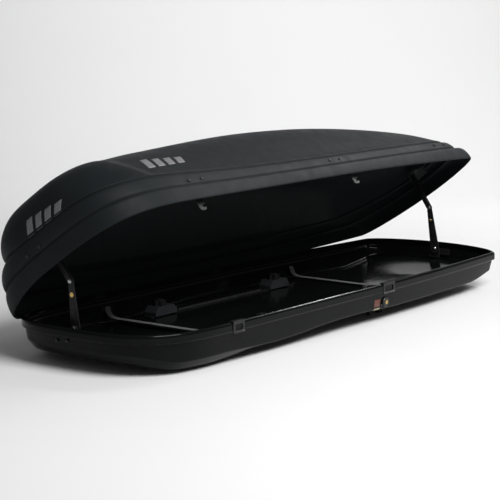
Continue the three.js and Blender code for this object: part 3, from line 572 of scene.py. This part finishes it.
def tub_openings():
    """Room for the clamp claws through the floor and for the lock barrel through the wall."""
    spots = []
    for place_name in ("rear_near", "rear_far", "front_near", "front_far"):
        low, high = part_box(f"clamp_{place_name}_claw")
        y = (low[1] + high[1]) / 2
        travel = JOINTS[f"clamp_{place_name}_claw_slide"]["range_m"][1]
        spots.append(((low[0] - travel - 0.002, y - 0.009, -0.02), (high[0] + 0.003, y + 0.009, 0.02)))
        housing_low, housing_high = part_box(f"clamp_{place_name}_housing")
        x = (housing_low[0] + housing_high[0]) / 2
        spots.append(((x - 0.042, y - 0.009, -0.02), (x - 0.028, y + 0.009, 0.02)))
    low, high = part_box("lock_housing")
    x, z = (low[0] + high[0]) / 2, (low[2] + high[2]) / 2
    spots.append(((x - 0.0115, low[1] - 0.01, z - 0.0115), (x + 0.0115, high[1] + 0.01, z + 0.0115)))
    return spots


def box_cutter(low, high):
    mesh = bpy.data.meshes.new("cutter")
    body = bmesh.new()
    bmesh.ops.create_cube(body, size=1.0)
    for vertex in body.verts:
        for axis in range(3):
            vertex.co[axis] = mix(low[axis], high[axis], vertex.co[axis] + 0.5)
    body.to_mesh(mesh)
    body.free()
    cutter = bpy.data.objects.new("cutter", mesh)
    bpy.context.scene.collection.objects.link(cutter)
    cutter.hide_render = True
    return cutter


def build_lid():
    lid = place("lid_shell_fine", lid_mesh(), LID_ABS)
    subdivide(lid)
    return lid


# ------------------------------------------------------------- prints laid on the shells
def surface_of(piece):
    graph = bpy.context.evaluated_depsgraph_get()
    return BVHTree.FromObject(piece, graph)


def laid_on(tree, name, corners, cast_from, direction, material,
            cells=(14, 5), lift=FILM_LIFT, thickness=0.0005):
    """A thin film whose four corners are given in the plane it is cast from, laid on the surface under it."""
    columns, rows = cells
    points, faces = [], []
    for j in range(rows + 1):
        for i in range(columns + 1):
            s, t = i / columns, j / rows
            low = corners[0].lerp(corners[1], s)
            high = corners[3].lerp(corners[2], s)
            start = low.lerp(high, t) + cast_from
            hit, normal, _, _ = tree.ray_cast(start, direction)
            normal = normal if normal.dot(direction) < 0 else -normal
            points.append(hit + normal * lift)
    for j in range(rows):
        for i in range(columns):
            a = j * (columns + 1) + i
            faces.append((a, a + 1, a + columns + 2, a + columns + 1))
    mesh = bpy.data.meshes.new(name)
    mesh.from_pydata(points, [], faces)
    piece = place(name, mesh, material)
    film = piece.modifiers.new("film", "SOLIDIFY")
    film.thickness = thickness
    film.offset = 0.0
    apply_modifiers(piece)
    return piece


def emblem_bars(tree, prefix, centre, along, up, cast_from, direction, size):
    """A plain emblem: slanted bars that shorten from one end to the other."""
    width, height = size
    count = 4
    slant = 0.32 * height
    pieces = []
    for k in range(count):
        left = -width / 2 + k * width / count
        bar = width / count * 0.66
        top = height * (0.5 - 0.11 * k)
        corners = [centre + along * (left - slant / 2) + up * (-height / 2),
                   centre + along * (left + bar - slant / 2) + up * (-height / 2),
                   centre + along * (left + bar + slant / 2) + up * top,
                   centre + along * (left + slant / 2) + up * top]
        pieces.append(laid_on(tree, f"{prefix}_{k + 1}", corners, cast_from, direction, EMBLEM))
    return pieces


def build_emblems(lid):
    tree = surface_of(lid)
    side = emblem_bars(tree, "emblem_side", Vector((-0.69, 0, 0.245)), Vector((1, 0, 0.03)),
                       Vector((0.05, 0, 1)), Vector((0, -0.6, 0)), Vector((0, 1, 0)), (0.20, 0.046))
    tail = emblem_bars(tree, "emblem_tail", Vector((0, -0.07, 0.215)), Vector((0, -1, 0)), Vector((0, 0, 1)),
                       Vector((-1.4, 0, 0)), Vector((1, 0, 0)), (0.17, 0.05))
    return side + tail


def build_label(tub):
    """A plain red label with a pale one under it, on the tub's wall beside the lock."""
    tree = surface_of(tub)
    low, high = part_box("lock_housing")
    x, z = (low[0] + high[0]) / 2 - LABEL_OFFSET, (low[2] + high[2]) / 2
    for name, height, rise, lift, material in (("label_red", 0.026, 0.002, FILM_LIFT, LABEL_RED),
                                               ("label_pale", 0.006, -0.018, 0.0011, LABEL_PALE)):
        left, right = x - LABEL_WIDTH / 2, x + LABEL_WIDTH / 2
        foot, head = z + rise - height / 2, z + rise + height / 2
        corners = [Vector((left, 0, foot)), Vector((right, 0, foot)),
                   Vector((right, 0, head)), Vector((left, 0, head))]
        film = laid_on(tree, name, corners, Vector((0, -0.6, 0)), Vector((0, 1, 0)), material, (8, 4), lift)
        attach(film, "tub")


# ------------------------------------------------------------- straps
def build_strap(place_name):
    """Flat webbing across the floor, turned up at both ends."""
    low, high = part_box(f"load_strap_{place_name}")
    x = (low[0] + high[0]) / 2
    half = (high[0] - low[0]) / 2
    reach = high[1]
    bottom, top = low[2], high[2]
    route = [(-reach, top), (-reach + 0.004, bottom + 0.024), (-reach + 0.009, bottom + 0.012),
             (-reach + 0.019, bottom + 0.004), (-reach + 0.034, bottom + 0.0006)]
    flat_points = 18
    start = -reach + 0.034
    for i in range(1, flat_points):
        y = mix(start, -start, i / flat_points)
        route.append((y, bottom + 0.0006 + 0.0004 * math.sin(i * 2.1)))
    route += [(-y, z) for y, z in route[4::-1]]
    columns = 8
    points, faces = [], []
    for y, z in route:
        for k in range(columns + 1):
            s = k / columns * 2 - 1
            points.append((x + half * s, y, z + 0.0003 * (1 - s**4)))
    for j in range(len(route) - 1):
        for k in range(columns):
            a = j * (columns + 1) + k
            faces.append((a, a + 1, a + columns + 2, a + columns + 1))
    mesh = bpy.data.meshes.new(f"strap_{place_name}_woven")
    mesh.from_pydata(points, [], faces)
    strap = place(f"strap_{place_name}_woven", mesh, WEBBING)
    film = strap.modifiers.new("thickness", "SOLIDIFY")
    film.thickness = STRAP_THICKNESS
    film.offset = 0.0
    subdivide(strap)
    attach(strap, "tub")
    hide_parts(f"load_strap_{place_name}")


# ------------------------------------------------------------- CAD pieces kept as they are
def finish_cad_nodes():
    slots = {entry["node"]: entry["material_slot"] for entry in frame["record"]["subparts"]}
    for name, node in NODES.items():
        node.data.materials.clear()
        node.data.materials.append(SLOT_MATERIAL[slots[name]])
        bevel = node.modifiers.new("edge", "BEVEL")
        bevel.width = EDGE_BEVEL
        bevel.segments = 2
        bevel.limit_method = "ANGLE"
        bevel.angle_limit = math.radians(40)
        bevel.harden_normals = True
        for polygon in node.data.polygons:
            polygon.use_smooth = True


# ------------------------------------------------------------- stage, light and camera
def build_stage():
    """A pale sweep: a level floor that curves up into a backdrop well behind the box."""
    floor_z = CAD_BOX[0][2] - FLOOR_CLEARANCE
    away = Vector((math.cos(CAMERA_YAW), math.sin(CAMERA_YAW), 0))
    across = Vector((-away.y, away.x, 0))
    profile = [(-9.0, 0.0), (3.2, 0.0)]
    for i in range(1, 13):
        turn = i / 12 * math.pi / 2
        profile.append((3.2 + 1.6 * math.sin(turn), 1.6 - 1.6 * math.cos(turn)))
    profile.append((4.8, 5.0))
    vertices = []
    for along, height in profile:
        for side in (-9.0, 9.0):
            vertices.append(away * along + across * side + Vector((0, 0, floor_z + height)))
    faces = [(2 * i, 2 * i + 1, 2 * i + 3, 2 * i + 2) for i in range(len(profile) - 1)]
    mesh = bpy.data.meshes.new("sweep")
    mesh.from_pydata(vertices, [], faces)
    material, tree, shader, coords = new_material("pale_paper")
    tone = noise(tree, coords, 2.0)
    tree.links.new(ramp(tree, tone.outputs["Fac"], (0.79, 0.79, 0.79), (0.81, 0.81, 0.81)),
                   shader.inputs["Base Color"])
    shader.inputs["Roughness"].default_value = 0.9
    shader.inputs["Specular IOR Level"].default_value = 0.1
    place("sweep", mesh, material)
    world = bpy.data.worlds.new("studio")
    world.use_nodes = True
    world.node_tree.nodes["Background"].inputs["Color"].default_value = (1.0, 1.0, 1.0, 1.0)
    world.node_tree.nodes["Background"].inputs["Strength"].default_value = WORLD_STRENGTH
    bpy.context.scene.world = world


def softbox(name, direction, distance, size, power, target=(0, 0, 0.2)):
    """An area light that far from the target in a direction, facing it."""
    light = bpy.data.lights.new(name, "AREA")
    light.shape = "RECTANGLE"
    light.size, light.size_y = size
    light.energy = power
    lamp = bpy.data.objects.new(name, light)
    lamp.location = Vector(target) + Vector(direction).normalized() * distance
    lamp.rotation_euler = (Vector(target) - lamp.location).to_track_quat("-Z", "Y").to_euler()
    bpy.context.scene.collection.objects.link(lamp)


def build_lights():
    softbox("fill", (-0.2, -0.7, 0.75), 4.5, (3.0, 2.0), 210)
    softbox("nose_side_key", (0.8, -0.4, 0.5), 4.2, (0.9, 0.6), 22)
    softbox("rim_line", (0.8, -0.135, 0.585), 4.2, (1.3, 0.1), 40)
    softbox("corner_strip", (-0.3, -0.5, 0.77), 3.6, (0.6, 0.2), 8)
    away = Vector((math.cos(CAMERA_YAW), math.sin(CAMERA_YAW), 0))
    wall = away * 4.8 + Vector((0, 0, 0.6))
    softbox("backdrop", -away + Vector((0, 0, 0.7)), 2.6, (4.0, 0.8), 34, wall)


def build_camera():
    """Stands off the tail and the open side, a little above the rim."""
    yaw, pitch = CAMERA_YAW, CAMERA_PITCH
    position = Vector((*CAMERA_PLACE, CAMERA_ABOVE_RIM + RIM_Z_MM * MM))
    forward = Vector((math.cos(pitch) * math.cos(yaw), math.cos(pitch) * math.sin(yaw), math.sin(pitch)))
    camera = bpy.data.cameras.new("camera")
    camera.sensor_width = 36.0
    camera.lens = CAMERA_LENS_MM
    camera.clip_end = 60.0
    holder = bpy.data.objects.new("camera", camera)
    holder.location = position
    holder.rotation_euler = forward.to_track_quat("-Z", "Y").to_euler()
    bpy.context.scene.collection.objects.link(holder)
    bpy.context.scene.camera = holder
    bpy.context.scene.view_settings.view_transform = "Standard"


# ------------------------------------------------------------- assembly
finish_cad_nodes()
tub = build_tub()
lid = build_lid()
emblems = build_emblems(lid)
for piece in [lid, *emblems]:
    piece.data.transform(open_matrix())
    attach(piece, "lid")
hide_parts("lid_shell")
build_label(tub)
for strap_place in ("rear", "front"):
    build_strap(strap_place)
build_stage()
build_lights()
build_camera()
